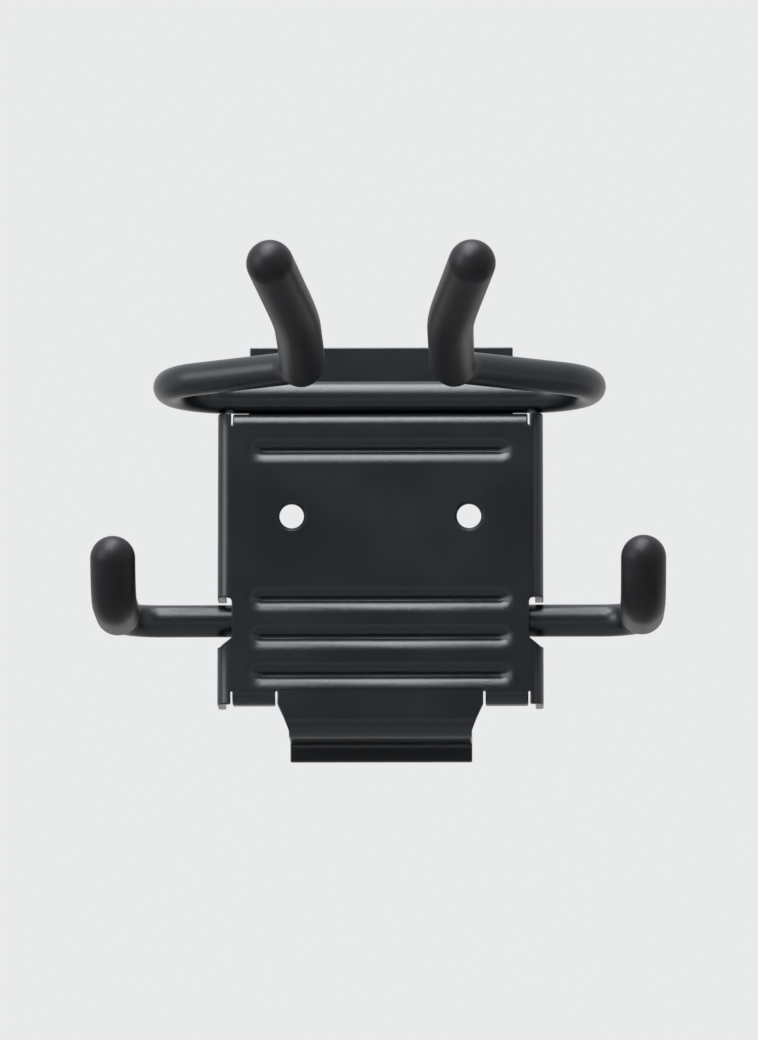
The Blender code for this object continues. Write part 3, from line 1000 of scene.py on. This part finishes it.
@dataclass
class SkiHolder:
    """The upper rod: a loop at each side, two forked prongs, and their sleeves."""

    stock: Stock
    plate: BackPlate
    loop_width: float = 94.4 * MM
    loop_bend: float = 14.4 * MM
    loop_slant_degrees: float = 34.0
    prong_spacing: float = 32.8 * MM
    prong_bend: float = 12.0 * MM
    prong_knee: float = 111.0 * MM
    tip_run: float = 32.0 * MM
    tip_rise: float = 6.5 * MM
    tip_spread: float = 4.8 * MM
    tip_bend: float = 80.0 * MM
    sleeve_lead_degrees: float = 22.0
    weld_place: float = 21.0 * MM

    def __post_init__(self) -> None:
        """Works out where the rod lies in the plate's seat and where its runs would meet."""
        self.rear_y = self.plate.face_y + self.stock.rod_radius
        self.level = self.plate.top + self.stock.clearance + self.stock.rod_radius
        self.slant = math.radians(self.loop_slant_degrees)
        u_bend = math.tan((math.pi - self.slant) / 2)
        self.loop_corner = self.loop_width / 2 + self.loop_bend * (u_bend - 1)
        self.root_y = self.rear_y - (self.loop_corner - self.prong_spacing / 2) * math.tan(self.slant)

    def prong(self, side: Side) -> list[Vector]:
        """Lays out one prong, from the loop to the middle of the tip's dome.

        Args:
            side: The prong's side.

        Returns:
            Its corners.
        """
        x = side.value * self.prong_spacing / 2
        tip = Vector((x + side.value * self.tip_spread, -self.prong_knee - self.tip_run,
                      self.level + self.tip_rise))
        return [Vector((x, self.root_y, self.level)), Vector((x, -self.prong_knee, self.level)), tip]

    def sleeve_corners(self, side: Side) -> list[Vector]:
        """Lays out a sleeve, which begins part of the way round the prong's first bend.

        Args:
            side: The prong's side.

        Returns:
            The sleeve's corners.
        """
        root, knee, tip = self.prong(side)
        lead = math.radians(self.sleeve_lead_degrees)
        straight = root.y - self.prong_bend * math.tan((math.pi / 2 - self.slant) / 2)
        out = root.x + side.value * self.prong_bend * (1 - math.cos(lead))
        start = Vector((out, straight + self.prong_bend * math.sin(lead), root.z))
        turn = Vector((root.x, straight + self.prong_bend * math.tan(lead / 2), root.z))
        return [start, turn, knee, tip]

    def build(self, coat: bpy.types.Material, rubber: bpy.types.Material) -> None:
        """Makes the rod and its two sleeves.

        Args:
            coat: The rod's material.
            rubber: The sleeves' material.
        """
        outer = Vector((self.loop_corner, self.rear_y, self.level))
        half = [outer, *past_end(self.prong(Side.RIGHT), self.stock.rod_past_dome)]
        radii = [self.tip_bend, self.prong_bend, self.loop_bend]
        rod = BentRod(self.stock, [*mirrored(half), *half], [*radii, *reversed(radii)])
        rod.build("ski_wire", "ski_rod", coat)
        for side in Side:
            sleeve = Sleeve(self.stock, self.sleeve_corners(side), [self.prong_bend, self.tip_bend])
            sleeve.build("ski_cover_" + side.word, "ski_sleeve_" + side.word, rubber)


@dataclass
class PoleHolder:
    """The lower rod: it lies behind a band of the plate and ends in two upturned arms."""

    stock: Stock
    plate: BackPlate
    spacing: float = 117.4 * MM
    bend: float = 9.0 * MM
    reach: float = 34.0 * MM
    upturn_bend: float = 10.0 * MM
    upturn_degrees: float = 65.0
    upturn_straight: float = 3.35 * MM
    sleeve_start: float = 18.5 * MM
    weld_place: float = 16.0 * MM

    def __post_init__(self) -> None:
        """Works out where the rod rests behind the plate."""
        stock, plate = self.stock, self.plate
        self.level = plate.pole_rod_z
        self.ridge_y = plate.middle_y + plate.groove_depth - plate.groove_bowl
        self.ridge_radius = plate.groove_bowl + stock.half_sheet
        apart = self.ridge_radius + stock.clearance + stock.rod_radius
        beside_ridges = self.ridge_y + math.sqrt(max(0.0, apart**2 - (plate.band_pitch / 2) ** 2))
        self.rear_y = max(plate.face_y + stock.sheet + stock.clearance + stock.rod_radius, beside_ridges)

    def arm(self, side: Side) -> list[Vector]:
        """Lays out one arm, from the plate to the middle of the tip's dome.

        Args:
            side: The arm's side.

        Returns:
            Its corners.
        """
        x = side.value * self.spacing / 2
        turn = math.radians(self.upturn_degrees)
        reach = self.upturn_bend * math.tan(turn / 2)
        corner = Vector((x, -self.reach - reach, self.level))
        rise = Vector((0, -math.cos(turn), math.sin(turn)))
        return [Vector((x, self.rear_y, self.level)), corner, corner + rise * (reach + self.upturn_straight)]

    def build(self, coat: bpy.types.Material, rubber: bpy.types.Material) -> None:
        """Makes the rod and its two sleeves.

        Args:
            coat: The rod's material.
            rubber: The sleeves' material.
        """
        half = past_end(self.arm(Side.RIGHT), self.stock.rod_past_dome)
        radii = [self.upturn_bend, self.bend, self.bend, self.upturn_bend]
        BentRod(self.stock, [*mirrored(half), *half], radii).build("pole_wire", "pole_rod", coat)
        for side in Side:
            root, corner, tip = self.arm(side)
            start = Vector((root.x, -self.sleeve_start, root.z))
            sleeve = Sleeve(self.stock, [start, corner, tip], [self.upturn_bend])
            sleeve.build("pole_cover_" + side.word, "pole_sleeve_" + side.word, rubber)


@dataclass
class WeldBead:
    """A short bead laid along X in the valley between two round surfaces, under the coat."""

    stock: Stock
    first: Vector
    first_radius: float
    second: Vector
    second_radius: float
    length: float = 14.0 * MM
    fillet: float = 1.2 * MM
    half_width: float = 1.9 * MM
    flatness: float = 0.72
    end_taper: float = 1.7
    ripples: int = 10
    ripple_depth: float = 0.10 * MM
    ripple_curve: float = 1.6
    rings_per_ripple: int = 8
    sides: int = 28
    smooth_degrees: float = 60.0

    def seat(self) -> Station:
        """Finds where the bead touches both surfaces.

        Returns:
            The bead's middle in the YZ plane, with its directions across and out.
        """
        reach = self.first_radius + self.stock.clearance + self.fillet
        other = self.second_radius + self.stock.clearance + self.fillet
        gap = self.second - self.first
        along = (gap.length**2 + reach**2 - other**2) / (2 * gap.length)
        rise = math.sqrt(reach**2 - along**2)
        direction = gap.normalized()
        out = Vector((0, -direction.z, direction.y))
        return Station(self.first + direction * along + out * rise, Vector((1, 0, 0)), direction, out)

    def build(self, name: str, node: str, place: float, coat: bpy.types.Material) -> None:
        """Makes the bead, with one ripple for each step of the torch.

        Args:
            name: The piece's name.
            node: The CAD node that it stands for.
            place: The x of its middle.
            coat: Its material.
        """
        draft = Draft()
        seat = self.seat()
        start = Vector((place - self.length / 2, seat.point.y, seat.point.z))
        at = Station(start, seat.along, seat.across, seat.up)
        count = self.ripples * self.rings_per_ripple
        rings = []
        for step in range(1, count):
            share = step / count
            ends = min(1.0, min(share, 1 - share) * self.length / (self.end_taper * self.half_width))
            swell = math.sqrt(1 - (1 - ends) ** 2)
            phase = (share * self.ripples) % 1.0
            ripple = self.ripple_depth * (1 - phase) ** self.ripple_curve
            width = swell * (self.half_width - ripple)
            rings.append(draft.ring(at, width, self.sides, share * self.length, self.flatness))
        draft.skin(rings, start, start + Vector((self.length, 0, 0)))
        declare(draft.made(name, self.smooth_degrees), node, coat)


# The studio


@dataclass(frozen=True)
class Lamp:
    """A soft box that faces the object."""

    name: str
    place: Triple
    width: float
    length: float
    watts: float
    colour: str = "#FFFFFF"

    def build(self, target: Vector) -> None:
        """Hangs the lamp and turns it to the target.

        Args:
            target: What it is turned to.
        """
        data = bpy.data.lights.new(self.name, "AREA")
        data.shape = "RECTANGLE"
        data.size = self.width
        data.size_y = self.length
        data.energy = self.watts
        data.color = linear(self.colour)[:3]
        lamp = bpy.data.objects.new(self.name, data)
        lamp.location = self.place
        lamp.rotation_euler = (target - Vector(self.place)).to_track_quat("-Z", "Y").to_euler()
        bpy.context.scene.collection.objects.link(lamp)


@dataclass
class Studio:
    """A pale floor, a far pale sweep, soft lamps and the camera, placed in metres."""

    floor_z: float = -1.6
    floor_half: float = 9.0
    sweep_y: float = 6.0
    sweep_radius: float = 2.0
    sweep_height: float = 7.0
    eye: Triple = (0.0265, -1.8, -0.29)
    view_height: float = 0.232
    aim: Triple = (0.0, -0.030, -0.030)
    sensor_width: float = 36.0
    clip: tuple[float, float] = (0.05, 60.0)
    paper: StudioPaper = StudioPaper()
    lamps: tuple[Lamp, ...] = (
        Lamp("overhead_lamp", (-0.25, -0.60, 1.35), width=1.0, length=1.8, watts=58.0, colour="#F6FAFF"),
        Lamp("left_lamp", (-1.40, -0.88, 0.36), width=0.9, length=1.0, watts=11.5, colour="#F2F8FF"),
        Lamp("right_lamp", (1.30, -1.15, 0.30), width=0.8, length=1.0, watts=2.0),
    )
    fill_colour: str = "#F2F4F6"
    fill_strength: float = 0.16
    flagged_strength: float = 0.26
    flag_direction: Triple = (0.34, -0.94, 0.0)
    flag_from: float = 0.35
    flag_to: float = 0.85

    def build_stage(self) -> None:
        """Makes the floor, which curves up into the sweep behind."""
        profile = bent_path(
            [
                Vector((0, -self.floor_half, self.floor_z)),
                Vector((0, self.sweep_y, self.floor_z)),
                Vector((0, self.sweep_y, self.floor_z + self.sweep_height)),
            ],
            [self.sweep_radius],
        )
        draft = Draft()
        left = [draft.mesh.verts.new((-self.floor_half, p.y, p.z)) for p in profile]
        right = [draft.mesh.verts.new((self.floor_half, p.y, p.z)) for p in profile]
        BackPlate.strip(draft.mesh, left, right)
        floor = draft.made("studio_sweep")
        floor.data.materials.append(self.paper.material())

    def build_world(self) -> None:
        """Fills in light evenly from all round, and shows a pale studio to the camera and to gloss.

        For gloss a dark flag stands in front of the hanger, so that its flat face stays deep
        black. Every curve still catches the pale sides.
        """
        world = bpy.data.worlds.new("studio_surround")
        bpy.context.scene.world = world
        world.use_nodes = True
        tree = world.node_tree
        tree.nodes.clear()
        way = add_node(tree, "TexCoord", {}).outputs["Generated"]
        near_flag = add_node(tree, "VectorMath", {"operation": "DOT_PRODUCT"}, i0=way, i1=self.flag_direction)
        flag = add_node(tree, "MapRange", {"interpolation_type": "SMOOTHSTEP"},
                        Value=near_flag.outputs["Value"], From_Min=self.flag_from, From_Max=self.flag_to,
                        To_Min=1.0, To_Max=self.flagged_strength).outputs["Result"]
        camera_ray = add_node(tree, "LightPath", {}).outputs["Is Camera Ray"]
        strength = add_node(tree, "Math", {"operation": "MAXIMUM"}, i0=flag, i1=camera_ray).outputs[0]
        fill = add_node(tree, "Background", {}, Color=linear(self.fill_colour), Strength=self.fill_strength)
        shown = add_node(tree, "Background", {}, Color=linear(self.paper.colour), Strength=strength)
        mix = add_node(tree, "MixShader", {}, i0=seen_directly(tree), i1=fill.outputs[0], i2=shown.outputs[0])
        add_node(tree, "OutputWorld", {}, Surface=mix.outputs[0])

    def build_camera(self) -> None:
        """Sets the camera at the photograph's height and side, aimed at the hanger."""
        eye, aim = Vector(self.eye), Vector(self.aim)
        data = bpy.data.cameras.new("camera")
        data.sensor_width = self.sensor_width
        data.lens = data.sensor_width * (aim - eye).length / self.view_height
        data.clip_start, data.clip_end = self.clip
        camera = bpy.data.objects.new("camera", data)
        camera.location = eye
        camera.rotation_euler = (aim - eye).to_track_quat("-Z", "Y").to_euler()
        bpy.context.scene.collection.objects.link(camera)
        bpy.context.scene.camera = camera

    def build(self) -> None:
        """Sets up the whole studio."""
        bpy.context.scene.view_settings.view_transform = "Standard"
        self.build_camera()
        self.build_world()
        self.build_stage()
        for lamp in self.lamps:
            lamp.build(Vector(self.aim))


def main() -> None:
    """Builds the studio and the hanger."""
    logging.basicConfig(level=logging.INFO, format="%(name)s: %(message)s")
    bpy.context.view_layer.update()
    Studio().build()
    coat, rubber = PowderCoat().material(), MouldedRubber().material()
    stock = Stock()
    plate = BackPlate(stock)
    plate.build(coat)
    ski_holder, pole_holder = SkiHolder(stock, plate), PoleHolder(stock, plate)
    ski_holder.build(coat, rubber)
    pole_holder.build(coat, rubber)
    hook_fold = Vector((0, plate.riser_y + stock.fold_radius, stock.half_sheet - stock.fold_radius))
    upper_rod = Vector((0, ski_holder.rear_y, ski_holder.level))
    ski_bead = WeldBead(stock, upper_rod, stock.rod_radius, hook_fold, stock.fold_radius + stock.half_sheet)
    ridge = Vector((0, pole_holder.ridge_y, plate.grooves[plate.low_grooves - 1]))
    lower_rod = Vector((0, pole_holder.rear_y, pole_holder.level))
    pole_bead = WeldBead(stock, ridge, pole_holder.ridge_radius, lower_rod, stock.rod_radius)
    beads = {"ski": (ski_bead, ski_holder.weld_place), "pole": (pole_bead, pole_holder.weld_place)}
    for side in Side:
        for rod, (bead, place) in beads.items():
            bead.build(f"{rod}_weld_{side.word}", f"{rod}_rod_weld_{side.word}", side.value * place, coat)


if __name__ == "__main__":
    main()
